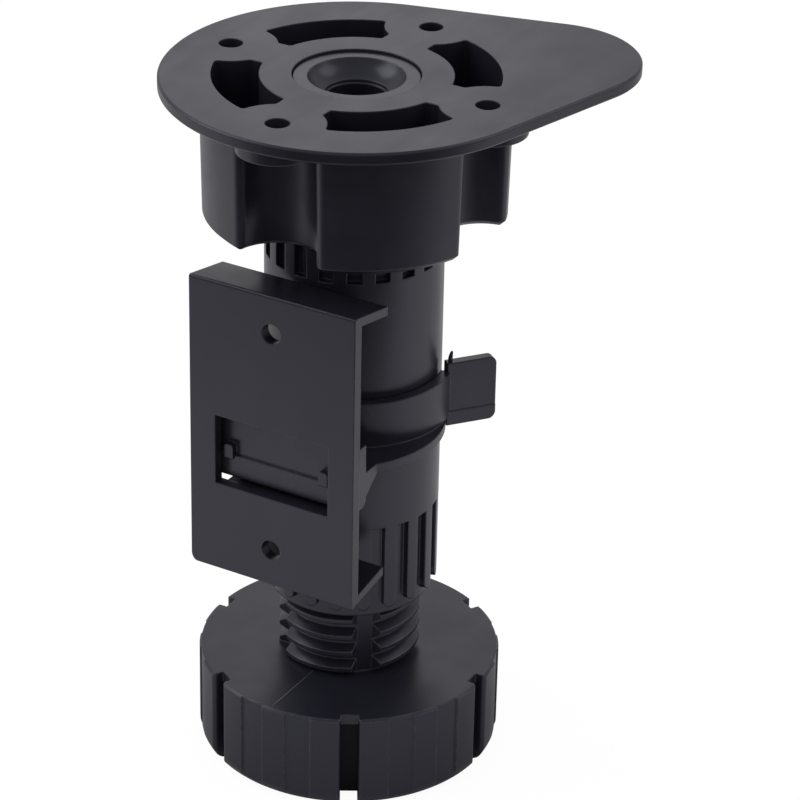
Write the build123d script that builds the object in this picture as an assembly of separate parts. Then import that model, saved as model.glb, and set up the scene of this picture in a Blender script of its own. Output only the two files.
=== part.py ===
from build123d import *
from math import atan, cos, degrees, pi, radians, sin, tan
import os

# Adjustable cabinet leg with a plinth clip. Millimetres, +Z up.
# The origin is on the tube's axis at the underside of the foot, and the plinth plate faces -Y.

# Clearances between pieces
PUSH_GAP = 0.15
SLIDE_GAP = 0.3
BORE_GAP = 0.2

# How far a cut runs past the face that it opens, and a joined piece into its carrier
OVERSHOOT = 1.0
BURIED = 0.5

# Foot: knob and spindle
KNOB_R = 32.6
KNOB_H = 22.0
KNOB_EDGE_R = 3.6
KNOB_TOP_CHAMFER = 0.5
KNOB_TOP_T = 2.3
KNOB_SKIRT_T = 5.0
KNOB_TURN = 1.2
NOTCH_COUNT = 6
NOTCH_W = 3.7
NOTCH_DEPTH = 2.4
NOTCH_EDGE_R = 0.9
SLIT_DEPTH = 6.6
SLIT_WALL = 1.8
FLUTE_DEPTH = 0.35
FLUTE_ANGLE = 10.0
FLUTE_STARTS = (15.0, 35.0)
FOOT_WALL = 3.1
FOOT_RIB_W = 2.0
SPINDLE_TOP_Z = 88.0
SPINDLE_FLOOR = 4.0
SPINDLE_TOP_CHAMFER = 1.6

# Thread of the spindle, cut in four by flats
THREAD_PITCH = 4.0
THREAD_DEPTH = 2.1
THREAD_CREST_W = 0.9
THREAD_ROOT_W = 3.3
THREAD_START_Z = 20.36
STARTS_PER_TURN = 4
ARC_ANGLE = 80.0
FLAT_W = 3.3
FLAT_BEVEL_W = 1.7
FLAT_TURN = 45.0

# Leg tube
TUBE_R = 18.6
TUBE_WALL = 3.1
TUBE_LENGTH = 113.9
TUBE_GAP_TO_KNOB = 16.5
GROOVE_COUNT = 20
GROOVE_ANGLE = 9.3
GROOVE_DEPTH = 1.4
GROOVE_TURN = -5.2
RIB_LENGTH = 19.5
RIB_END_RISE = 2.0
UPPER_GROOVE_LENGTH = 35.4
TUBE_MOUTH_CHAMFER = 0.6

# Hub at the closed top of the tube
HUB_SET_IN = 4.3
HUB_RECESS = 0.5
HUB_THICKNESS = 7.5
DISH_R = 10.0
DISH_FLOOR_R = 6.4
DISH_DEPTH = 3.4
DISH_BULGE = 0.7
DISH_STEP = 0.65
HUB_HOLE_R = 6.0

# Mounting plate: flange with tongue, and the socket under it
FLANGE_R = 40.0
FLANGE_T = 2.6
FLANGE_CHAMFER = 0.35
TONGUE_TIP_R = 20.0
TONGUE_REACH = 59.2
TONGUE_TURN = 45.0
SCREW_COUNT = 4
SCREW_CIRCLE_R = 30.0
SCREW_HOLE_R = 2.5
SCREW_BOSS_R = 8.3
SCREW_BOSS_H = 2.9
SOCKET_DEPTH = 27.4
LOBE_DEPTH = 13.0
LOBE_DRAFT = 1.1
LOBE_CORNER_R = 2.0
LOBE_CHAMFER = 1.0
RECESS_R = 8.0
LOBE_END_WALL = 1.7
LOBE_WALL = 2.45
SOCKET_WALL = 0.9
WELL_WEB_W = 10.6
WELL_FLOOR = 2.0
WELL_CORNER_R = 0.8

# Plinth plate: an upright channel with a window and guide rails behind it
PLATE_W = 39.0
PLATE_H = 66.6
PLATE_T = 2.5
PLATE_DEPTH = 12.5
PLATE_LIP_T = 2.0
PLATE_LIP_LEAN = 10.5
PLATE_LOW_Z = 52.0
PLATE_CORNER_R = 2.2
PLATE_EDGE_R = 0.5
PLATE_HOLE_R = 2.2
PLATE_HOLE_SPACING = 49.7
WINDOW_W = 27.0
WINDOW_LOW_Z = 72.4
WINDOW_H = 15.8
RAIL_LENGTH = 24.4
RAIL_T = 2.0
RAIL_LIP_T = 1.5
RAIL_LIP_H = 3.0

# Spring clip: open ring, skirt, slide bar with ledge and stops, and two flared ends
RING_WALL = 2.2
RING_LOW_Z = 81.0
RING_H = 10.0
RING_HALF_ANGLE = 105.6
SKIRT_T = 2.0
SKIRT_OVERHANG = 2.1
SKIRT_OFFSET = 7.2
BAR_W = 37.0
BAR_T = 3.9
BAR_STAND_OFF = 4.4
BAR_CHAMFER = 1.0
BAR_PLAY_BELOW = 1.2
BAR_PLAY_ABOVE = 1.0
LEDGE_H = 5.0
LEDGE_PROUD = 0.5
STOP_H = 2.7
STOP_W = 2.2
STOP_REACH = 0.7
STOP_GAP_LEFT = 0.9
STOP_GAP_RIGHT = 1.2
STOP_CORNER_R = 0.6
GUSSET_T = 2.0
GUSSET_DROP = 3.6
EAR_T = 2.0
EAR_LENGTH = 11.0
EAR_H = 14.4
EAR_DROP = 2.4
EAR_CORNER_R = 1.6
EAR_FLARE = 38.0
EAR_BAND_H = 3.2
EAR_BAND_T = 0.15

# Levels and places that follow from the sizes above
tube_low_z = KNOB_H + TUBE_GAP_TO_KNOB
shoulder_z = tube_low_z + TUBE_LENGTH
plate_top_z = shoulder_z + FLANGE_T
socket_low_z = shoulder_z - SOCKET_DEPTH
hub_top_z = plate_top_z - HUB_RECESS
hub_low_z = hub_top_z - HUB_THICKNESS
tube_bore_r = TUBE_R - TUBE_WALL
crest_r = tube_bore_r - SLIDE_GAP
root_r = crest_r - THREAD_DEPTH
groove_floor_r = TUBE_R - GROOVE_DEPTH
hub_r = groove_floor_r - HUB_SET_IN
socket_r = TUBE_R + PUSH_GAP
lobe_r = socket_r + LOBE_DEPTH
ring_inner_r = TUBE_R + SLIDE_GAP
ring_outer_r = ring_inner_r + RING_WALL
bar_back_y = -ring_outer_r - BAR_STAND_OFF
bar_front_y = bar_back_y - BAR_T
plate_back_y = bar_front_y - SLIDE_GAP
plate_front_y = plate_back_y - PLATE_T
low_rail_z = WINDOW_LOW_Z - BORE_GAP
high_rail_z = WINDOW_LOW_Z + WINDOW_H + BORE_GAP
bar_low_z = low_rail_z + BAR_PLAY_BELOW
bar_high_z = high_rail_z - BAR_PLAY_ABOVE
ledge_z = bar_low_z + LEDGE_H


def upright_prism(sketch, low_z, high_z):
    """The sketch, drawn at height zero, raised between two heights."""
    return Pos(0, 0, low_z) * extrude(sketch, high_z - low_z)


def sector(inner_r, outer_r, start, angle):
    """A flat piece of a ring from one angle onwards, in degrees."""
    reach = 2 * outer_r
    spread = [(0, 0)]
    for share in (0.0, 0.5, 1.0):
        turn = radians(start + share * angle)
        spread.append((reach * cos(turn), reach * sin(turn)))
    wedge = make_face(Polyline(*spread, close=True))
    return (Circle(outer_r) - Circle(inner_r)) & wedge


def around(count, piece, start=0.0):
    """Copies of a piece, evenly turned about Z."""
    return [Rot(0, 0, start + k * 360 / count) * piece for k in range(count)]


def corners_near(sketch, radius, reach):
    """The corners of a sketch that lie near a circle about Z."""
    return [v for v in sketch.vertices() if abs(Vector(v.X, v.Y).length - radius) < reach]


def knob():
    """Hollow round grip: a notched top, a skirt slit at the notches, shallow flutes and ribs inside."""
    notch = Pos(KNOB_R, 0) * Rectangle(2 * NOTCH_DEPTH, NOTCH_W)
    outline = Circle(KNOB_R) - around(NOTCH_COUNT, notch)
    outline = fillet(corners_near(outline, KNOB_R, 0.1), NOTCH_EDGE_R)
    for start in FLUTE_STARTS:
        flute = sector(KNOB_R - FLUTE_DEPTH, KNOB_R + OVERSHOOT, start, FLUTE_ANGLE)
        outline -= around(NOTCH_COUNT, flute)

    base_r = KNOB_R - KNOB_EDGE_R
    chamfer_z = KNOB_H - KNOB_TOP_CHAMFER
    half = Line((0, 0), (base_r, 0))
    half += TangentArc((base_r, 0), (KNOB_R, KNOB_EDGE_R), tangent=(1, 0))
    half += Polyline(
        (KNOB_R, KNOB_EDGE_R), (KNOB_R, chamfer_z), (KNOB_R - KNOB_TOP_CHAMFER, KNOB_H), (0, KNOB_H), (0, 0)
    )
    body = upright_prism(outline, 0, KNOB_H) & revolve(Plane.XZ * make_face(half), Axis.Z)

    inner_r = KNOB_R - KNOB_SKIRT_T
    ceiling_z = KNOB_H - KNOB_TOP_T
    rib = Pos((root_r + inner_r) / 2, 0) * Rectangle(inner_r, FOOT_RIB_W)
    slit = Pos(KNOB_R, 0) * Rectangle(2 * SLIT_DEPTH, NOTCH_W)
    slit_wall = Pos(KNOB_R, 0) * Rectangle(2 * (SLIT_DEPTH + SLIT_WALL), NOTCH_W + 2 * SLIT_WALL)
    pocket = Circle(inner_r) - Circle(root_r)
    pocket -= around(NOTCH_COUNT, rib, 180 / NOTCH_COUNT)
    pocket -= around(NOTCH_COUNT, slit_wall)
    body -= upright_prism(pocket, 0, ceiling_z)
    body -= [upright_prism(opening, 0, ceiling_z) for opening in around(NOTCH_COUNT, slit)]
    return Rot(0, 0, KNOB_TURN) * body


def thread_arc():
    """One quarter turn of the thread, centred on +X at height zero and tilted to the helix."""
    slope = (THREAD_ROOT_W - THREAD_CREST_W) / 2 / THREAD_DEPTH
    half_base = THREAD_ROOT_W / 2 + slope * BURIED
    half_crest = THREAD_CREST_W / 2
    base_r = root_r - BURIED
    tooth = Polyline(
        (base_r, -half_base), (crest_r, -half_crest), (crest_r, half_crest), (base_r, half_base), close=True
    )
    arc = revolve(Plane.XZ * make_face(tooth), Axis.Z, revolution_arc=ARC_ANGLE)
    helix = degrees(atan(THREAD_PITCH / (2 * pi * (root_r + THREAD_DEPTH / 2))))
    return Rot(helix, 0, 0) * Rot(0, 0, -ARC_ANGLE / 2) * arc


def spindle():
    """Threaded stem of the foot, cored from its top and flattened along four sides."""
    step = THREAD_PITCH / STARTS_PER_TURN
    last_z = SPINDLE_TOP_Z - THREAD_ROOT_W / 2 - step
    arc = thread_arc()
    arcs = []
    for k in range(int((last_z - THREAD_START_Z) / step) + 1):
        arcs.append(Pos(0, 0, THREAD_START_Z + k * step) * Rot(0, 0, k * 360 / STARTS_PER_TURN) * arc)
    stem = Pos(0, 0, KNOB_H / 2) * Cylinder(
        root_r, SPINDLE_TOP_Z - KNOB_H / 2, align=(Align.CENTER, Align.CENTER, Align.MIN)
    )
    stem += arcs
    stem -= upright_prism(Circle(crest_r + OVERSHOOT) - Circle(root_r), 0, KNOB_H - KNOB_TOP_T / 2)

    flat_x = root_r * cos(FLAT_W / 2 / root_r)
    spread = FLAT_BEVEL_W / THREAD_DEPTH
    outer_x = crest_r + OVERSHOOT
    half_outer = FLAT_W / 2 + spread * (outer_x - flat_x)
    channel = make_face(
        Polyline(
            (flat_x, -FLAT_W / 2), (outer_x, -half_outer),
            (outer_x, half_outer), (flat_x, FLAT_W / 2), close=True
        )
    )
    stem -= [
        upright_prism(c, KNOB_H, SPINDLE_TOP_Z + OVERSHOOT)
        for c in around(STARTS_PER_TURN, channel, FLAT_TURN)
    ]

    slope_low_z = SPINDLE_TOP_Z - SPINDLE_TOP_CHAMFER
    corner = Polyline(
        (crest_r - SPINDLE_TOP_CHAMFER - OVERSHOOT, SPINDLE_TOP_Z + OVERSHOOT),
        (crest_r + OVERSHOOT, SPINDLE_TOP_Z + OVERSHOOT),
        (crest_r + OVERSHOOT, slope_low_z - OVERSHOOT),
        close=True,
    )
    return stem - revolve(Plane.XZ * make_face(corner), Axis.Z)


def adjusting_foot():
    """Knob and threaded spindle, one moulding."""
    foot = knob() + spindle()
    return foot - upright_prism(Circle(root_r - FOOT_WALL), SPINDLE_FLOOR, SPINDLE_TOP_Z + OVERSHOOT)


def tube_rib():
    """One rib of the lower tube: straight sides, and a rounded lower end seen from outside."""
    rib_angle = 360 / GROOVE_COUNT - GROOVE_ANGLE
    rib_w = 2 * TUBE_R * sin(radians(rib_angle / 2))
    low_z = tube_low_z + RIB_END_RISE
    face = Pos(0, low_z + rib_w / 2) * Circle(rib_w / 2)
    face += Pos(0, low_z + (RIB_LENGTH + rib_w / 2) / 2) * Rectangle(rib_w, RIB_LENGTH - rib_w / 2)
    return extrude(Plane.YZ * face, TUBE_R + OVERSHOOT)


def dish():
    """Concave seat in the hub, with a small step down to its hole."""
    floor_z = hub_top_z - DISH_DEPTH
    middle = ((DISH_R + DISH_FLOOR_R) / 2 + DISH_BULGE / 2, hub_top_z - DISH_DEPTH / 2 - DISH_BULGE / 2)
    half = ThreePointArc((DISH_R, hub_top_z), middle, (DISH_FLOOR_R, floor_z))
    half += Polyline(
        (DISH_FLOOR_R, floor_z),
        (DISH_FLOOR_R, floor_z - DISH_STEP),
        (HUB_HOLE_R, floor_z - DISH_STEP),
        (HUB_HOLE_R, hub_low_z - OVERSHOOT),
        (0, hub_low_z - OVERSHOOT),
        (0, hub_top_z + OVERSHOOT),
        (DISH_R, hub_top_z + OVERSHOOT),
        (DISH_R, hub_top_z),
    )
    return revolve(Plane.XZ * make_face(half), Axis.Z)


def leg_tube():
    """Tube with ribs at both ends, closed by a dished hub that stands up through the plate."""
    rib_low_z = tube_low_z + RIB_END_RISE
    groove_low_z = shoulder_z - UPPER_GROOVE_LENGTH
    smooth_low_z = rib_low_z + RIB_LENGTH
    groove = sector(groove_floor_r, TUBE_R + OVERSHOOT, -GROOVE_ANGLE / 2, GROOVE_ANGLE)
    rib_turn = GROOVE_TURN + 180 / GROOVE_COUNT

    tube = upright_prism(Circle(groove_floor_r), tube_low_z, shoulder_z)
    tube += upright_prism(Circle(TUBE_R), smooth_low_z, shoulder_z)
    tube -= [
        upright_prism(g, groove_low_z, shoulder_z + OVERSHOOT)
        for g in around(GROOVE_COUNT, groove, GROOVE_TURN)
    ]
    sleeve = upright_prism(Circle(TUBE_R), rib_low_z, smooth_low_z)
    tube += [sleeve & rib for rib in around(GROOVE_COUNT, tube_rib(), rib_turn)]
    tube += upright_prism(Circle(hub_r), shoulder_z - OVERSHOOT, hub_top_z)
    tube -= upright_prism(Circle(tube_bore_r), tube_low_z - OVERSHOOT, hub_low_z)
    mouth = Polyline(
        (tube_bore_r - OVERSHOOT, tube_low_z - OVERSHOOT),
        (tube_bore_r + TUBE_MOUTH_CHAMFER + OVERSHOOT, tube_low_z - OVERSHOOT),
        (tube_bore_r - OVERSHOOT, tube_low_z + TUBE_MOUTH_CHAMFER + OVERSHOOT),
        close=True,
    )
    tube -= revolve(Plane.XZ * make_face(mouth), Axis.Z)
    return tube - dish()


def flange():
    """Round plate drawn out into a tongue, with chamfered rims."""
    tip_x = TONGUE_REACH - TONGUE_TIP_R
    rims = [Circle(FLANGE_R).edge(), (Pos(tip_x, 0) * Circle(TONGUE_TIP_R)).edge()]
    outline = Rot(0, 0, TONGUE_TURN) * make_hull(rims)
    plate = upright_prism(outline, shoulder_z, plate_top_z)
    rims = plate.edges().group_by(Axis.Z)
    return chamfer(rims[0] + rims[-1], FLANGE_CHAMFER)


def lobes():
    """Four drafted lobes with rounded corners, between the recesses under the screw holes."""
    recess = Pos(SCREW_CIRCLE_R, 0) * Circle(RECESS_R)
    outline = Circle(lobe_r) - around(SCREW_COUNT, recess)
    outline = fillet(outline.vertices(), LOBE_CORNER_R)
    block = extrude(Pos(0, 0, shoulder_z) * outline, -SOCKET_DEPTH, taper=LOBE_DRAFT)
    return chamfer(block.edges().group_by(Axis.Z)[0], LOBE_CHAMFER)


def well():
    """Outline of the four blind wells in the plate; the inward and outward offsets round its corners."""
    end = Pos(SCREW_CIRCLE_R, 0) * Circle(RECESS_R + LOBE_END_WALL)
    web = Pos(SCREW_CIRCLE_R / 2, 0) * Rectangle(SCREW_CIRCLE_R, WELL_WEB_W)
    outline = Circle(lobe_r - LOBE_WALL) - Circle(socket_r + SOCKET_WALL)
    outline -= around(SCREW_COUNT, end)
    outline -= around(SCREW_COUNT, web)
    core = offset(outline, amount=-WELL_CORNER_R, kind=Kind.INTERSECTION)
    return offset(core, amount=WELL_CORNER_R, kind=Kind.ARC)


def mounting_plate():
    """Screw-on plate with a cored, four-lobed socket under it, one moulding."""
    screw_boss = Pos(SCREW_CIRCLE_R, 0) * Circle(SCREW_BOSS_R)
    screw_hole = Pos(SCREW_CIRCLE_R, 0) * Circle(SCREW_HOLE_R)
    plate = flange() + lobes()
    for disc in around(SCREW_COUNT, screw_boss):
        plate += upright_prism(disc, shoulder_z - SCREW_BOSS_H, shoulder_z)
    plate -= upright_prism(Circle(socket_r), socket_low_z - OVERSHOOT, shoulder_z)
    plate -= upright_prism(Circle(hub_r + BORE_GAP), shoulder_z - OVERSHOOT, plate_top_z + OVERSHOOT)
    plate -= upright_prism(well(), socket_low_z + WELL_FLOOR, plate_top_z + OVERSHOOT)
    for hole in around(SCREW_COUNT, screw_hole):
        plate -= upright_prism(hole, shoulder_z - SCREW_BOSS_H - OVERSHOOT, plate_top_z + OVERSHOOT)
    return plate


def sideways_prism(section, low_x, high_x):
    """A section drawn in Y and Z, drawn out along X."""
    return Pos(low_x, 0, 0) * extrude(Plane.YZ * section, high_x - low_x)


def forward_prism(face, back_y, front_y):
    """A face drawn in X and Z, drawn out along -Y."""
    return Pos(0, back_y, 0) * extrude(Plane.XZ * face, back_y - front_y)


def rectangle(low_a, high_a, low_b, high_b):
    """A rectangle between four limits."""
    return Pos((low_a + high_a) / 2, (low_b + high_b) / 2) * Rectangle(high_a - low_a, high_b - low_b)


def rail(root_z, up):
    """Hooked rail along the back of the plinth plate; up is 1 above the bar, -1 below it."""
    lip_front_y = bar_back_y + SLIDE_GAP
    lip_back_y = lip_front_y + RAIL_LIP_T
    far_z = root_z + up * RAIL_T
    hook_z = root_z - up * RAIL_LIP_H
    section = Polyline(
        (plate_back_y, root_z),
        (lip_front_y, root_z),
        (lip_front_y, hook_z),
        (lip_back_y, hook_z),
        (lip_back_y, far_z),
        (plate_back_y, far_z),
        close=True,
    )
    return sideways_prism(make_face(section), -RAIL_LENGTH / 2, RAIL_LENGTH / 2)


def plinth_plate():
    """Upright channel with two screw holes, a window and two hooked rails behind it."""
    high_z = PLATE_LOW_Z + PLATE_H
    open_y = plate_front_y + PLATE_DEPTH
    rise = PLATE_DEPTH * tan(radians(PLATE_LIP_LEAN))
    root_rise = PLATE_T * tan(radians(PLATE_LIP_LEAN))
    outer = Polyline(
        (plate_front_y, PLATE_LOW_Z),
        (open_y, PLATE_LOW_Z + rise),
        (open_y, high_z - rise),
        (plate_front_y, high_z),
        close=True,
    )
    hollow = Polyline(
        (plate_back_y, PLATE_LOW_Z + PLATE_LIP_T + root_rise),
        (open_y, PLATE_LOW_Z + PLATE_LIP_T + rise),
        (open_y, high_z - PLATE_LIP_T - rise),
        (plate_back_y, high_z - PLATE_LIP_T - root_rise),
        close=True,
    )
    section = make_face(outer)
    section = fillet(section.vertices().group_by(Axis.X)[0], PLATE_EDGE_R) - make_face(hollow)
    plate = sideways_prism(section, -PLATE_W / 2, PLATE_W / 2)

    front = rectangle(-PLATE_W / 2, PLATE_W / 2, PLATE_LOW_Z, high_z)
    low_left = front.vertices().group_by(Axis.Y)[0].sort_by(Axis.X)[0]
    front = fillet(low_left, PLATE_CORNER_R)
    front -= rectangle(-WINDOW_W / 2, WINDOW_W / 2, WINDOW_LOW_Z, WINDOW_LOW_Z + WINDOW_H)
    middle_z = PLATE_LOW_Z + PLATE_H / 2
    for side in (-1, 1):
        front -= Pos(0, middle_z + side * PLATE_HOLE_SPACING / 2) * Circle(PLATE_HOLE_R)
    plate = plate & forward_prism(front, open_y, plate_front_y)
    plate += rail(high_rail_z, 1)
    plate += rail(low_rail_z, -1)
    return plate


def ring_sector(outline):
    """The part of an outline outside the tube and within the ring's opening angle."""
    half = radians(180 - RING_HALF_ANGLE)
    reach = 4 * ring_outer_r
    corner_x = reach * sin(half)
    corner_y = reach * cos(half)
    gap = make_face(Polyline((0, 0), (corner_x, corner_y), (-corner_x, corner_y), close=True))
    return outline - Circle(ring_inner_r) - gap


def ear(side):
    """Flared end of the ring, with rounded corners and a thicker foot; side is 1 at +X and -1 at -X."""
    blade = Rectangle(EAR_LENGTH, EAR_H)
    blade = fillet(blade.vertices().group_by(Axis.X)[-1], EAR_CORNER_R)
    blade = Pos(EAR_LENGTH / 2, EAR_H / 2) * blade
    band = blade & rectangle(0, EAR_LENGTH, 0, EAR_BAND_H)
    blade = extrude(Plane.XZ * blade, EAR_T / 2, both=True)
    blade += extrude(Plane.XZ * band, EAR_T / 2 + EAR_BAND_T, both=True)
    turn = RING_HALF_ANGLE - 90
    end_r = (ring_inner_r + ring_outer_r) / 2
    root = Pos(end_r * cos(radians(turn)), end_r * sin(radians(turn)), RING_LOW_Z - EAR_DROP)
    placed = root * Rot(0, 0, 90 - EAR_FLARE) * blade
    if side < 0:
        placed = mirror(placed, about=Plane.YZ)
    return placed


def slide_bar():
    """Bar that the plinth plate slides on: a ledge at its foot, and two stops that reach into the window."""
    face_y = bar_front_y + LEDGE_PROUD
    section = Polyline(
        (bar_front_y, bar_low_z),
        (bar_back_y - BAR_CHAMFER, bar_low_z),
        (bar_back_y, bar_low_z + BAR_CHAMFER),
        (bar_back_y, bar_high_z),
        (face_y, bar_high_z),
        (face_y, ledge_z),
        (bar_front_y, ledge_z),
        close=True,
    )
    bar = sideways_prism(make_face(section), -BAR_W / 2, BAR_W / 2)
    stop_left_x = STOP_GAP_LEFT - WINDOW_W / 2
    stop_right_x = WINDOW_W / 2 - STOP_GAP_RIGHT
    for low_x in (stop_left_x, stop_right_x - STOP_W):
        stop = rectangle(low_x, low_x + STOP_W, ledge_z - BURIED, ledge_z + STOP_H)
        stop = fillet(stop.vertices().group_by(Axis.Y)[-1], STOP_CORNER_R)
        bar += forward_prism(stop, face_y + BURIED, plate_back_y - STOP_REACH)
    return bar


def gusset(low_x):
    """Triangular web under the skirt, behind one end of the bar."""
    skirt_low_z = RING_LOW_Z - SKIRT_T
    section = Polyline(
        (bar_back_y - BURIED, RING_LOW_Z),
        (-ring_outer_r, RING_LOW_Z),
        (-ring_outer_r, skirt_low_z),
        (bar_back_y, skirt_low_z - GUSSET_DROP),
        (bar_back_y - BURIED, skirt_low_z - GUSSET_DROP),
        close=True,
    )
    return sideways_prism(make_face(section), low_x, low_x + GUSSET_T)


def spring_clip():
    """Open ring with skirt, slide bar, gussets and two flared ends, one moulding."""
    skirt_r = ring_outer_r + SKIRT_OVERHANG
    ring = upright_prism(ring_sector(Circle(ring_outer_r)), RING_LOW_Z, RING_LOW_Z + RING_H)
    skirt = Pos(0, -SKIRT_OFFSET) * Circle(skirt_r)
    skirt += rectangle(-BAR_W / 2, BAR_W / 2, bar_back_y, -ring_inner_r)
    skirt -= rectangle(-2 * skirt_r, 2 * skirt_r, -2 * skirt_r, bar_back_y)
    clip = ring + upright_prism(ring_sector(skirt), RING_LOW_Z - SKIRT_T, RING_LOW_Z)
    clip += slide_bar()
    clip += gusset(BAR_W / 2 - GUSSET_T)
    clip += gusset(-BAR_W / 2)
    for side in (1, -1):
        clip += ear(side)
    return clip


NODES = {
    "mounting_plate": mounting_plate,
    "leg_tube": leg_tube,
    "adjusting_foot": adjusting_foot,
    "plinth_plate": plinth_plate,
    "spring_clip": spring_clip,
}

os.makedirs("parts", exist_ok=True)
for name, make in NODES.items():
    export_step(make(), f"parts/{name}.step")
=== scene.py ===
"""Finishes, small moulding marks and studio for an adjustable cabinet leg with its plinth clip."""

import math

import bpy
from bpy.props import FloatProperty, FloatVectorProperty, PointerProperty
from mathutils import Matrix, Vector


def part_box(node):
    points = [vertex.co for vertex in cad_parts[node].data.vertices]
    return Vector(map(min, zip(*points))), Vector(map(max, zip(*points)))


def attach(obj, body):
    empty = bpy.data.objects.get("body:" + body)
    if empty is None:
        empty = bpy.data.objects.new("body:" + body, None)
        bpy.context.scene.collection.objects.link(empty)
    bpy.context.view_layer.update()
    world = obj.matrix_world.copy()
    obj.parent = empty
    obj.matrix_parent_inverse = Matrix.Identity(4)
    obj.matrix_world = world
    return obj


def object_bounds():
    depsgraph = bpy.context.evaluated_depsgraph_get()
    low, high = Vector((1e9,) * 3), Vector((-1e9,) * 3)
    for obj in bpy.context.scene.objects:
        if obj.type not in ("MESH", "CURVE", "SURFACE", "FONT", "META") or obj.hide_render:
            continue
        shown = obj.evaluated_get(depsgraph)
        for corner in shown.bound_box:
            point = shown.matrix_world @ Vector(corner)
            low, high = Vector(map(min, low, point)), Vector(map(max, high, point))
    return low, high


bl_info = {
    "name": "Adjustable cabinet leg",
    "version": (1, 0, 0),
    "blender": (4, 5, 0),
    "location": "View3D > Sidebar > Cabinet leg",
    "description": "Moulded plastic finishes, moulding marks and a white studio for a cabinet leg",
    "category": "Object",
}

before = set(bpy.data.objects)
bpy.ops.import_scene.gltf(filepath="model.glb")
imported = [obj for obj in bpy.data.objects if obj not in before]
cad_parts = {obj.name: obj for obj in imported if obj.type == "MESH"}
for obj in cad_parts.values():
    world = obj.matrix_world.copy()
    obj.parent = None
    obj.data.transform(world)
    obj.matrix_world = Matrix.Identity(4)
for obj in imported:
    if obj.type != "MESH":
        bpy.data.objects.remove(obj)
CAD_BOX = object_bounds()

MM = 0.001
KNOB_TOP_Z = 22.0 * MM
KNOB_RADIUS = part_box("adjusting_foot")[1][0]
SPINDLE_RADIUS = 15.2 * MM
RECESS_RADIUS = 27.0 * MM
EAR_TOP_Z = 93.0 * MM
EAR_ROOT = Vector((19.80 * MM, 6.2 * MM, EAR_TOP_Z))
EAR_HEADING = math.radians(52.0)


class LegPlasticSettings(bpy.types.PropertyGroup):
    """Look of the black moulded plastic."""

    colour: FloatVectorProperty(
        name="Colour",
        description="Base colour of the black plastic",
        subtype="COLOR",
        size=3,
        min=0.0,
        max=1.0,
        default=(0.0168, 0.0163, 0.0262),
    )
    # Pale colour painted on the edges: a painted edge highlight, partly rubbing; the flash line uses it as
    # its pale colour too.
    edge_highlight_and_rubbing_colour: FloatVectorProperty(
        name="Rubbed colour",
        description="Colour of the edges where the plastic is rubbed",
        subtype="COLOR",
        size=3,
        min=0.0,
        max=1.0,
        default=(0.085, 0.083, 0.095),
    )
    sheen_colour: FloatVectorProperty(
        name="Sheen colour",
        description="Tint of the light that the surface mirrors",
        subtype="COLOR",
        size=3,
        min=0.0,
        max=1.0,
        default=(0.86, 0.855, 1.0),
    )
    roughness: FloatProperty(
        name="Roughness",
        description="Mean roughness of the satin surface",
        subtype="FACTOR",
        min=0.05,
        max=1.0,
        default=0.34,
    )
    grain_size: FloatProperty(
        name="Grain size",
        description="Width of one grain of the eroded mould surface",
        subtype="DISTANCE",
        unit="LENGTH",
        min=0.05 * MM,
        max=2.0 * MM,
        default=0.35 * MM,
    )
    grain_depth: FloatProperty(
        name="Grain depth",
        description="Depth of that grain",
        subtype="DISTANCE",
        unit="LENGTH",
        min=0.0,
        max=0.2 * MM,
        default=0.012 * MM,
    )
    edge_radius: FloatProperty(
        name="Edge radius",
        description="Radius at which the edges of the mouldings catch the light",
        subtype="DISTANCE",
        unit="LENGTH",
        min=0.0,
        max=2.0 * MM,
        default=0.4 * MM,
    )
    # How far the edges are painted pale: a painted edge highlight, partly rubbing.
    edge_highlight_and_rubbing: FloatProperty(
        name="Edge rubbing",
        description="How far rubbed edges turn paler",
        subtype="FACTOR",
        min=0.0,
        max=1.0,
        default=0.7,
    )
    thorn_height: FloatProperty(
        name="Thorn height",
        description="Height of the thorn of flash at the root of the clip's ear",
        subtype="DISTANCE",
        unit="LENGTH",
        min=0.5 * MM,
        max=5.0 * MM,
        default=2.3 * MM,
    )


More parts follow.
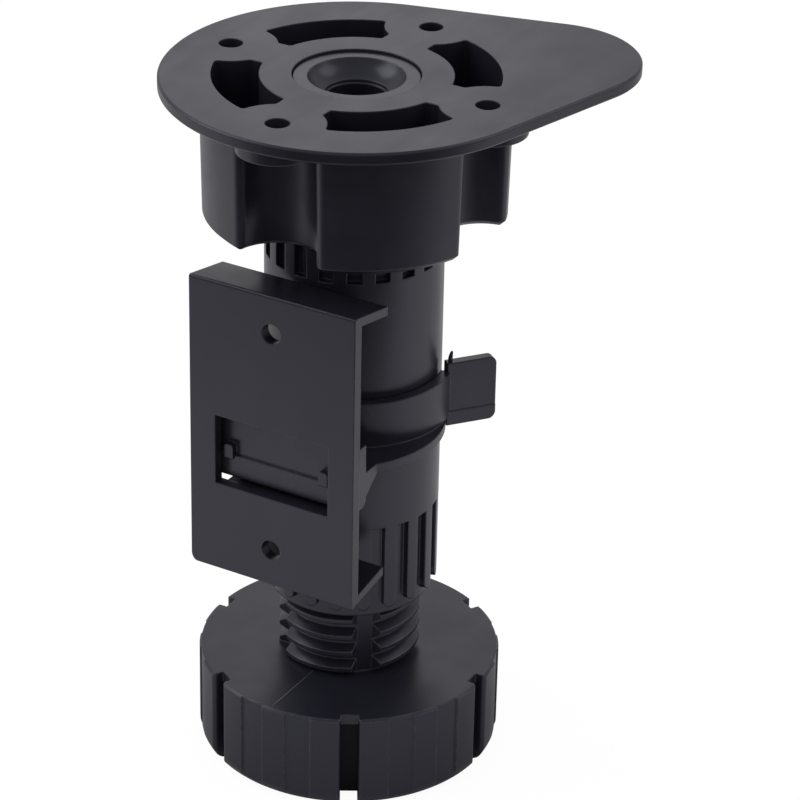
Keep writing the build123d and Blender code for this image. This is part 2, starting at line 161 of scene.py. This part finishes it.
class LegStudioSettings(bpy.types.PropertyGroup):
    """Floor, lamps and camera of the product shot."""

    floor_colour: FloatVectorProperty(
        name="Floor colour",
        description="Colour of the paper that the leg stands on",
        subtype="COLOR",
        size=3,
        min=0.0,
        max=1.0,
        default=(0.72, 0.72, 0.72),
    )
    floor_white: FloatProperty(
        name="Floor white",
        description="Share of plain white that the camera sees in the floor, over its shadows",
        subtype="FACTOR",
        min=0.0,
        max=1.0,
        default=0.86,
    )
    floor_gleam: FloatProperty(
        name="Floor gleam",
        description="Share of plain white that reflections see in the floor, away from the leg",
        subtype="FACTOR",
        min=0.0,
        max=1.0,
        default=0.70,
    )
    rear_gleam: FloatProperty(
        name="Rear gleam",
        description="Share of the floor's gleam that is left behind the leg",
        subtype="FACTOR",
        min=0.0,
        max=1.0,
        default=0.22,
    )
    ambient: FloatProperty(
        name="Room light",
        description="Strength of the light that comes from all round",
        min=0.0,
        max=2.0,
        default=0.496,
    )
    back_level: FloatProperty(
        name="Backdrop",
        description="Brightness of the backdrop straight behind the leg, in reflections",
        min=0.0,
        max=2.0,
        default=0.64,
    )
    side_level: FloatProperty(
        name="Sides",
        description="Brightness of the room beside the leg, in reflections",
        min=0.0,
        max=2.0,
        default=0.36,
    )
    low_level: FloatProperty(
        name="Below the horizon",
        description="Share of the room's light that is left past the floor's near edge",
        subtype="FACTOR",
        min=0.0,
        max=1.0,
        default=0.15,
    )
    left_level: FloatProperty(
        name="Left lamp",
        description="Light level that the left soft box gives at the leg",
        min=0.0,
        max=3.0,
        default=0.28,
    )
    right_level: FloatProperty(
        name="Right lamp",
        description="Light level that the right soft box gives at the leg",
        min=0.0,
        max=3.0,
        default=0.12,
    )
    back_lamp_level: FloatProperty(
        name="Back lamp",
        description="Light level that the small soft box behind the leg gives at the leg",
        min=0.0,
        max=3.0,
        default=0.016,
    )
    camera_heading: FloatProperty(
        name="Camera heading",
        description="Turn of the camera's view about the vertical",
        subtype="ANGLE",
        unit="ROTATION",
        default=math.radians(29.71),
    )
    camera_pitch: FloatProperty(
        name="Camera pitch",
        description="How far the camera looks down",
        subtype="ANGLE",
        unit="ROTATION",
        default=math.radians(27.77),
    )
    camera_roll: FloatProperty(
        name="Camera roll",
        description="Turn of the camera about its own view",
        subtype="ANGLE",
        unit="ROTATION",
        default=math.radians(1.19),
    )
    camera_lens: FloatProperty(
        name="Lens",
        description="Focal length in millimetres",
        min=10.0,
        max=300.0,
        default=155.63,
    )


def deselect():
    """Leaves nothing selected and no object in edit mode."""
    if bpy.context.object and bpy.context.object.mode != "OBJECT":
        bpy.ops.object.mode_set(mode="OBJECT")
    bpy.ops.object.select_all(action="DESELECT")


def node_of(tree, kind, **values):
    """Adds a shader node and sets its properties and input sockets by name."""
    node = tree.nodes.new(kind)
    for key, value in values.items():
        if key in node.inputs:
            node.inputs[key].default_value = value
        else:
            setattr(node, key, value)
    return node


def feed(tree, socket, source):
    """Sets an input socket to a number or links it to an output socket."""
    if isinstance(source, (int, float)):
        socket.default_value = source
    else:
        tree.links.new(source, socket)


def calculate(tree, operation, *terms):
    """Result of a math node on numbers and output sockets."""
    node = node_of(tree, "ShaderNodeMath", operation=operation)
    for socket, term in zip(node.inputs, terms):
        feed(tree, socket, term)
    return node.outputs["Value"]


def remap(tree, value, low_in, high_in, low_out, high_out):
    """Value carried from one range to another and held inside it."""
    node = node_of(tree, "ShaderNodeMapRange")
    ends = {"Value": value, "From Min": low_in, "From Max": high_in, "To Min": low_out, "To Max": high_out}
    for name, end in ends.items():
        feed(tree, node.inputs[name], end)
    return node.outputs["Result"]


def noise_of(tree, place, scale, detail=2.0):
    """Noise between 0 and 1 over the object's own coordinates."""
    noise = node_of(tree, "ShaderNodeTexNoise", Scale=scale, Detail=detail, Roughness=0.55)
    feed(tree, noise.inputs["Vector"], place)
    return noise.outputs["Fac"]


def blend(tree, factor, start, end):
    """Colour between two colours; start is a colour or an output socket."""
    mix = node_of(tree, "ShaderNodeMix", data_type="RGBA")
    first, second = [socket for socket in mix.inputs if socket.type == "RGBA"]
    if isinstance(start, bpy.types.NodeSocket):
        tree.links.new(start, first)
    else:
        first.default_value = (*start, 1.0)
    second.default_value = (*end, 1.0)
    feed(tree, mix.inputs["Factor"], factor)
    return [socket for socket in mix.outputs if socket.type == "RGBA"][0]


def stretched(tree, place, stretch):
    """Coordinates drawn out along the axes whose stretch is small."""
    mapping = node_of(tree, "ShaderNodeMapping")
    mapping.inputs["Scale"].default_value = stretch
    feed(tree, mapping.inputs["Vector"], place)
    return mapping.outputs["Vector"]


def part_along(tree, vector, direction):
    """How far a vector reaches along a direction, given as numbers or as an output socket."""
    product = node_of(tree, "ShaderNodeVectorMath", operation="DOT_PRODUCT")
    feed(tree, product.inputs[0], vector)
    if isinstance(direction, bpy.types.NodeSocket):
        feed(tree, product.inputs[1], direction)
    else:
        product.inputs[1].default_value = direction
    return product.outputs["Value"]


def length_of(tree, vector):
    """Length of a vector."""
    length = node_of(tree, "ShaderNodeVectorMath", operation="LENGTH")
    feed(tree, length.inputs[0], vector)
    return length.outputs["Value"]


def height_of(tree, vector):
    """Upright part of a vector."""
    split = node_of(tree, "ShaderNodeSeparateXYZ")
    feed(tree, split.inputs["Vector"], vector)
    return split.outputs["Z"]


def edge_mask(tree, rounded, breakup, strength, sharpest):
    """Mask of the edges: where the rounded normal leaves the true one, broken up by a noise."""
    flat = 0.999
    breakup_low, breakup_high = 0.38, 0.62
    faintest = 0.25
    surface = node_of(tree, "ShaderNodeNewGeometry").outputs["Normal"]
    bare = remap(tree, part_along(tree, rounded, surface), flat, sharpest, 0.0, strength)
    patches = remap(tree, breakup, breakup_low, breakup_high, faintest, 1.0)
    return calculate(tree, "MULTIPLY", bare, patches)


def knob_hollow_shade_and_dulling(tree, place):
    """Mask of the knob's inner walls, inside its rim and below its top disc: painted shade there, and a
    duller surface.
    """
    rim_fade = 1.5 * MM
    deep, shallow = KNOB_TOP_Z - 2.4 * MM, KNOB_TOP_Z - 1.4 * MM
    radius = length_of(tree, stretched(tree, place, (1.0, 1.0, 0.0)))
    inside = remap(tree, radius, RECESS_RADIUS, RECESS_RADIUS + rim_fade, 1.0, 0.0)
    below = remap(tree, height_of(tree, place), deep, shallow, 1.0, 0.0)
    return calculate(tree, "MULTIPLY", inside, below)


def moulded_plastic(
    name, settings, flow=(1.0, 1.0, 1.0), colour=None, gloss=0.0, highlight_and_rubbing_share=0.5, sharpest=0.88, hollow_shade_and_dulling=None
):
    """Black satin plastic: mottle, flow streaks and fine grain; rounded edges that catch the light, painted
    paler as a painted edge highlight and partly rubbing; and, where a mask is given, painted shade in
    hollows.
    """
    streak_share = 0.4
    tone_swing = 0.25
    patchy_low, patchy_high = 0.3, 0.7
    edge_polish = 0.10
    smoother, rougher = 0.05, 0.06
    # Painted shade on the knob's inner walls as a share of the base colour, and the roughness added there.
    painted_hollow_shade, recess_dulling = 0.25, 0.3
    coarse_depth, streak_depth = 0.7, 0.8
    material = bpy.data.materials.new(name)
    material.use_nodes = True
    tree = material.node_tree
    shader = tree.nodes["Principled BSDF"]
    shader.inputs["IOR"].default_value = 1.5
    shader.inputs["Specular IOR Level"].default_value = 0.57
    shader.inputs["Specular Tint"].default_value = (*settings.sheen_colour, 1.0)

    place = node_of(tree, "ShaderNodeTexCoord").outputs["Object"]
    mottle = noise_of(tree, place, scale=70.0, detail=3.0)
    specks = noise_of(tree, place, scale=900.0)
    streaks = noise_of(tree, stretched(tree, place, flow), scale=260.0, detail=3.0)
    patchy = calculate(tree, "MULTIPLY", mottle, 1 - streak_share)
    patchy = calculate(tree, "MULTIPLY_ADD", streaks, streak_share, patchy)

    base = colour or settings.colour
    dark = [(1 - tone_swing) * part for part in base]
    pale = [(1 + tone_swing) * part for part in base]
    tone = blend(tree, patchy, dark, pale)
    rounding = node_of(tree, "ShaderNodeBevel", samples=8, Radius=settings.edge_radius).outputs["Normal"]
    edge = edge_mask(tree, rounding, specks, settings.edge_highlight_and_rubbing * highlight_and_rubbing_share, sharpest)
    # Edges painted paler: a painted edge highlight, partly rubbing.
    tone = blend(tree, edge, tone, settings.edge_highlight_and_rubbing_colour)
    if hollow_shade_and_dulling:
        hollow_shade_and_dulling_mask = hollow_shade_and_dulling(tree, place)
        # Painted shade: the knob's inner walls darkened towards a quarter of the base colour.
        tone = blend(tree, hollow_shade_and_dulling_mask, tone, [painted_hollow_shade * part for part in base])
    tree.links.new(tone, shader.inputs["Base Color"])

    mean = settings.roughness - gloss
    satin = remap(tree, patchy, patchy_low, patchy_high, mean - smoother, mean + rougher)
    satin = calculate(tree, "MULTIPLY_ADD", edge, -edge_polish, satin)
    if hollow_shade_and_dulling:
        satin = calculate(tree, "MULTIPLY_ADD", hollow_shade_and_dulling_mask, recess_dulling, satin)
    tree.links.new(satin, shader.inputs["Roughness"])

    fine = noise_of(tree, place, scale=1 / settings.grain_size)
    coarse = noise_of(tree, place, scale=1 / (3 * settings.grain_size))
    height = calculate(tree, "MULTIPLY_ADD", coarse, coarse_depth, fine)
    height = calculate(tree, "MULTIPLY_ADD", streaks, streak_depth, height)
    bump = node_of(tree, "ShaderNodeBump", Strength=0.6, Distance=settings.grain_depth)
    tree.links.new(height, bump.inputs["Height"])
    tree.links.new(rounding, bump.inputs["Normal"])
    tree.links.new(bump.outputs["Normal"], shader.inputs["Normal"])
    return material


def dress(node, material):
    """Gives a CAD node's object its material in every slot."""
    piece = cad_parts[node]
    if not piece.material_slots:
        raise RuntimeError(f"{node} has no material slot")
    for slot in piece.material_slots:
        slot.material = material


class LEG_OT_finish_mounting_plate(bpy.types.Operator):
    """Finishes the round mounting plate with its lobed socket"""

    bl_idname = "cabinet_leg.finish_mounting_plate"
    bl_label = "Finish mounting plate"

    def execute(self, context):
        settings = context.scene.leg_plastic
        dress("mounting_plate", moulded_plastic("plate_plastic", settings, flow=(1.0, 0.12, 1.0)))
        return {"FINISHED"}


class LEG_OT_finish_leg_tube(bpy.types.Operator):
    """Finishes the ribbed leg tube"""

    bl_idname = "cabinet_leg.finish_leg_tube"
    bl_label = "Finish leg tube"

    def execute(self, context):
        settings = context.scene.leg_plastic
        dress("leg_tube", moulded_plastic("tube_plastic", settings, flow=(1.0, 1.0, 0.08), gloss=0.04))
        return {"FINISHED"}


class LEG_OT_finish_adjusting_foot(bpy.types.Operator):
    """Finishes the adjusting foot with its threaded spindle"""

    bl_idname = "cabinet_leg.finish_adjusting_foot"
    bl_label = "Finish adjusting foot"

    def execute(self, context):
        settings = context.scene.leg_plastic
        foot = moulded_plastic(
            "foot_plastic", settings, flow=(1.0, 1.0, 0.3), highlight_and_rubbing_share=1.0, sharpest=0.975, hollow_shade_and_dulling=knob_hollow_shade_and_dulling
        )
        dress("adjusting_foot", foot)
        return {"FINISHED"}


class LEG_OT_finish_plinth_clip(bpy.types.Operator):
    """Finishes the spring clip and the plinth plate that slides on it"""

    bl_idname = "cabinet_leg.finish_plinth_clip"
    bl_label = "Finish plinth clip"

    def execute(self, context):
        settings = context.scene.leg_plastic
        dress("spring_clip", moulded_plastic("clip_plastic", settings, flow=(1.0, 1.0, 0.4), gloss=0.05))
        dress("plinth_plate", moulded_plastic("plinth_plate_plastic", settings, flow=(1.0, 1.0, 0.15)))
        return {"FINISHED"}


class LEG_OT_add_flash_line(bpy.types.Operator):
    """Adds the thin pale line of moulding flash on top of the knob"""

    bl_idname = "cabinet_leg.add_flash_line"
    bl_label = "Add flash line"

    def execute(self, context):
        settings = context.scene.leg_plastic
        width, height, crest_width = 0.30 * MM, 0.22 * MM, 0.09 * MM
        into_spindle, short_of_rim = 0.3 * MM, 1.2 * MM
        smooth_below = math.radians(35)
        inner, outer = SPINDLE_RADIUS - into_spindle, KNOB_RADIUS - short_of_rim
        deselect()
        bpy.ops.mesh.primitive_cube_add(
            size=1.0,
            location=(0.0, -(inner + outer) / 2, KNOB_TOP_Z),
            scale=(width, outer - inner, height),
        )
        line = context.object
        line.name = "knob_flash_line"
        bpy.ops.object.transform_apply(location=True, rotation=True, scale=True)
        crest = line.modifiers.new("crest", "BEVEL")
        crest.width = crest_width
        crest.segments = 3
        bpy.ops.object.modifier_apply(modifier=crest.name)
        bpy.ops.object.shade_smooth_by_angle(angle=smooth_below)
        pale = moulded_plastic("flash_plastic", settings, colour=settings.edge_highlight_and_rubbing_colour)
        line.data.materials.append(pale)
        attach(line, "foot")
        return {"FINISHED"}


class LEG_OT_add_flash_thorn(bpy.types.Operator):
    """Adds the thorn of moulding flash that stands at the root of the clip's ear"""

    bl_idname = "cabinet_leg.add_flash_thorn"
    bl_label = "Add flash thorn"

    def execute(self, context):
        settings = context.scene.leg_plastic
        foot_radius, sunk, sides = 0.50 * MM, 0.6 * MM, 12
        along = Vector((math.cos(EAR_HEADING), math.sin(EAR_HEADING), 0.0))
        deselect()
        bpy.ops.mesh.primitive_circle_add(
            vertices=sides, radius=foot_radius, fill_type="NGON", location=EAR_ROOT - Vector((0.0, 0.0, sunk))
        )
        thorn = context.object
        thorn.name = "clip_flash_thorn"
        bpy.ops.object.transform_apply(location=True, rotation=True, scale=True)
        bpy.ops.object.mode_set(mode="EDIT")
        bpy.ops.mesh.select_all(action="SELECT")
        # Each step's share of the height, its share of the sideways lean, and the width that is left.
        steps = (
            (0.22, 0.0, 1.0),
            (0.26, 0.20, 0.90),
            (0.24, 0.30, 0.86),
            (0.18, 0.30, 0.78),
            (0.10, 0.20, 0.55),
        )
        lean = 0.35 * MM
        smooth_below = math.radians(40)
        buried = sunk
        for rise, drift, narrow in steps:
            shift = along * lean * drift
            shift.z = rise * settings.thorn_height + buried
            bpy.ops.mesh.extrude_region_move(TRANSFORM_OT_translate={"value": shift})
            bpy.ops.transform.resize(value=(narrow, narrow, 1.0))
            buried = 0.0
        bpy.ops.mesh.select_all(action="SELECT")
        bpy.ops.mesh.normals_make_consistent(inside=False)
        bpy.ops.object.mode_set(mode="OBJECT")
        tip = thorn.modifiers.new("soft_tip", "BEVEL")
        tip.width = 0.05 * MM
        tip.segments = 2
        bpy.ops.object.modifier_apply(modifier=tip.name)
        bpy.ops.object.shade_smooth_by_angle(angle=smooth_below)
        thorn.data.materials.append(moulded_plastic("thorn_plastic", settings))
        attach(thorn, "clip")
        return {"FINISHED"}


def reflected_rays(tree, path):
    """1 for the rays that a reflection or a clear material sends out, 0 for the others."""
    return calculate(tree, "MAXIMUM", path.outputs["Is Glossy Ray"], path.outputs["Is Transmission Ray"])


def away_from_camera(studio):
    """Level direction in which the camera looks."""
    return Vector((-math.sin(studio.camera_heading), math.cos(studio.camera_heading), 0.0))


def floor_paper(studio):
    """Paper that takes the leg's shadow, looks nearly white, and gleams in reflections away from the leg;
    near the leg the gleam fades out as painted shade, and behind the leg it is dimmer.
    """
    white_strength = 1.1
    gleam_start, gleam_full = 45 * MM, 130 * MM
    front, rear = -50 * MM, 120 * MM
    material = bpy.data.materials.new("floor_paper")
    material.use_nodes = True
    tree = material.node_tree
    paper = tree.nodes["Principled BSDF"]
    paper.inputs["Base Color"].default_value = (*studio.floor_colour, 1.0)
    paper.inputs["Roughness"].default_value = 0.9
    paper.inputs["Specular IOR Level"].default_value = 0.0
    white = node_of(tree, "ShaderNodeEmission", Strength=white_strength)

    path = node_of(tree, "ShaderNodeLightPath")
    place = node_of(tree, "ShaderNodeTexCoord").outputs["Object"]
    direct = calculate(tree, "MULTIPLY", path.outputs["Is Camera Ray"], studio.floor_white)
    # Painted shade in what reflections see: the gleam fades out near the leg and is dimmer behind it.
    gleam = remap(tree, length_of(tree, place), gleam_start, gleam_full, 0.0, studio.floor_gleam)
    depth = part_along(tree, place, away_from_camera(studio))
    gleam = calculate(tree, "MULTIPLY", gleam, remap(tree, depth, front, rear, 1.0, studio.rear_gleam))
    mirrored = calculate(tree, "MULTIPLY", reflected_rays(tree, path), gleam)

    mix = node_of(tree, "ShaderNodeMixShader")
    tree.links.new(calculate(tree, "MAXIMUM", direct, mirrored), mix.inputs["Fac"])
    tree.links.new(paper.outputs["BSDF"], mix.inputs[1])
    tree.links.new(white.outputs["Emission"], mix.inputs[2])
    tree.links.new(mix.outputs["Shader"], tree.nodes["Material Output"].inputs["Surface"])
    return material


class LEG_OT_build_studio(bpy.types.Operator):
    """Builds the white floor, the room light, the lamps and the camera"""

    bl_idname = "cabinet_leg.build_studio"
    bl_label = "Build studio"

    def execute(self, context):
        studio = context.scene.leg_studio
        self.floor(studio)
        self.room(context, studio)
        # Name, place and width in metres, and light level at the leg.
        soft_boxes = (
            ("left_soft_box", (-0.75, -0.35, 0.75), 0.7, studio.left_level),
            ("right_soft_box", (0.65, 0.45, 0.8), 0.6, studio.right_level),
            ("back_soft_box", (-0.29, 0.468, 0.394), 0.18, studio.back_lamp_level),
        )
        for name, place, width, level in soft_boxes:
            self.lamp(context, name, Vector(place), width, level)
        self.camera(context, studio)
        context.scene.view_settings.view_transform = "Standard"
        return {"FINISHED"}

    def floor(self, studio):
        """A sheet of pale paper under the leg, with its near edge a little in front of it."""
        near, far, half_width = -0.17, 2.4, 1.8
        deselect()
        bpy.ops.mesh.primitive_plane_add(size=1.0, location=(0.0, 0.0, 0.0))
        sheet = bpy.context.object
        sheet.name = "studio_floor"
        turn = Matrix.Rotation(studio.camera_heading, 4, "Z")
        for corner in sheet.data.vertices:
            along = near if corner.co.y < 0 else far
            corner.co = turn @ Vector((math.copysign(half_width, corner.co.x), along, 0.0))
        sheet.data.materials.append(floor_paper(studio))

    def room(self, context, studio):
        """Brightest behind the leg, dim past the floor's near edge, and plain white to the camera."""
        world = bpy.data.worlds.new("studio_room")
        context.scene.world = world
        world.use_nodes = True
        tree = world.node_tree
        tree.nodes.clear()
        dimmed, horizon = -0.12, 0.02
        beside, behind = 0.2, 0.95
        toward = node_of(tree, "ShaderNodeTexCoord").outputs["Generated"]
        rise = remap(tree, height_of(tree, toward), dimmed, horizon, studio.low_level, 1.0)
        facing = part_along(tree, toward, away_from_camera(studio))
        backdrop = remap(tree, facing, beside, behind, studio.side_level, studio.back_level)

        path = node_of(tree, "ShaderNodeLightPath")
        level = remap(tree, reflected_rays(tree, path), 0.0, 1.0, studio.ambient, backdrop)
        strength = calculate(tree, "MULTIPLY", rise, level)
        strength = calculate(tree, "MAXIMUM", strength, path.outputs["Is Camera Ray"])
        light = node_of(tree, "ShaderNodeBackground", Color=(1.0, 1.0, 1.0, 1.0))
        feed(tree, light.inputs["Strength"], strength)
        output = node_of(tree, "ShaderNodeOutputWorld")
        tree.links.new(light.outputs["Background"], output.inputs["Surface"])

    def lamp(self, context, name, place, width, level):
        """A square soft box that points at the leg's middle and lights a white face there to its level."""
        middle = (CAD_BOX[0] + CAD_BOX[1]) / 2
        aim = middle - place
        deselect()
        bpy.ops.object.light_add(type="AREA", location=place)
        lamp = context.object
        lamp.name = name
        lamp.rotation_euler = aim.to_track_quat("-Z", "Y").to_euler()
        lamp.visible_camera = False
        lamp.data.shape = "SQUARE"
        lamp.data.size = width
        lamp.data.energy = level * math.pi**2 * aim.length_squared

    def camera(self, context, studio):
        """The camera at the photograph's viewing angle."""
        distance, height, azimuth = 0.64345, 0.42009, math.radians(30.6)
        deselect()
        bpy.ops.object.camera_add(
            location=(distance * math.sin(azimuth), -distance * math.cos(azimuth), height)
        )
        camera = context.object
        camera.name = "product_camera"
        turn = (
            Matrix.Rotation(studio.camera_heading, 4, "Z")
            @ Matrix.Rotation(math.pi / 2 - studio.camera_pitch, 4, "X")
            @ Matrix.Rotation(studio.camera_roll, 4, "Z")
        )
        camera.rotation_euler = turn.to_euler()
        camera.data.lens = studio.camera_lens
        camera.data.sensor_width = 36.0
        camera.data.clip_start = 0.01
        context.scene.camera = camera


OPERATORS = (
    LEG_OT_build_studio,
    LEG_OT_finish_mounting_plate,
    LEG_OT_finish_leg_tube,
    LEG_OT_finish_adjusting_foot,
    LEG_OT_finish_plinth_clip,
    LEG_OT_add_flash_line,
    LEG_OT_add_flash_thorn,
)


class LEG_PT_cabinet_leg(bpy.types.Panel):
    """Sizes, colours and steps of the cabinet leg"""

    bl_idname = "LEG_PT_cabinet_leg"
    bl_label = "Cabinet leg"
    bl_space_type = "VIEW_3D"
    bl_region_type = "UI"
    bl_category = "Cabinet leg"

    def draw(self, context):
        column = self.layout.column()
        for group in (context.scene.leg_plastic, context.scene.leg_studio):
            for name in group.__annotations__:
                column.prop(group, name)
        for operator in OPERATORS:
            column.operator(operator.bl_idname)


CLASSES = (LegPlasticSettings, LegStudioSettings, *OPERATORS, LEG_PT_cabinet_leg)


def register():
    """Registers the classes and hangs the settings on the scene."""
    for item in CLASSES:
        bpy.utils.register_class(item)
    bpy.types.Scene.leg_plastic = PointerProperty(type=LegPlasticSettings)
    bpy.types.Scene.leg_studio = PointerProperty(type=LegStudioSettings)


def unregister():
    """Takes the settings and classes away again."""
    del bpy.types.Scene.leg_studio
    del bpy.types.Scene.leg_plastic
    for item in reversed(CLASSES):
        bpy.utils.unregister_class(item)


def main():
    """Builds the whole scene."""
    register()
    for operator in OPERATORS:
        group, name = operator.bl_idname.split(".")
        getattr(getattr(bpy.ops, group), name)()


if __name__ == "__main__":
    main()
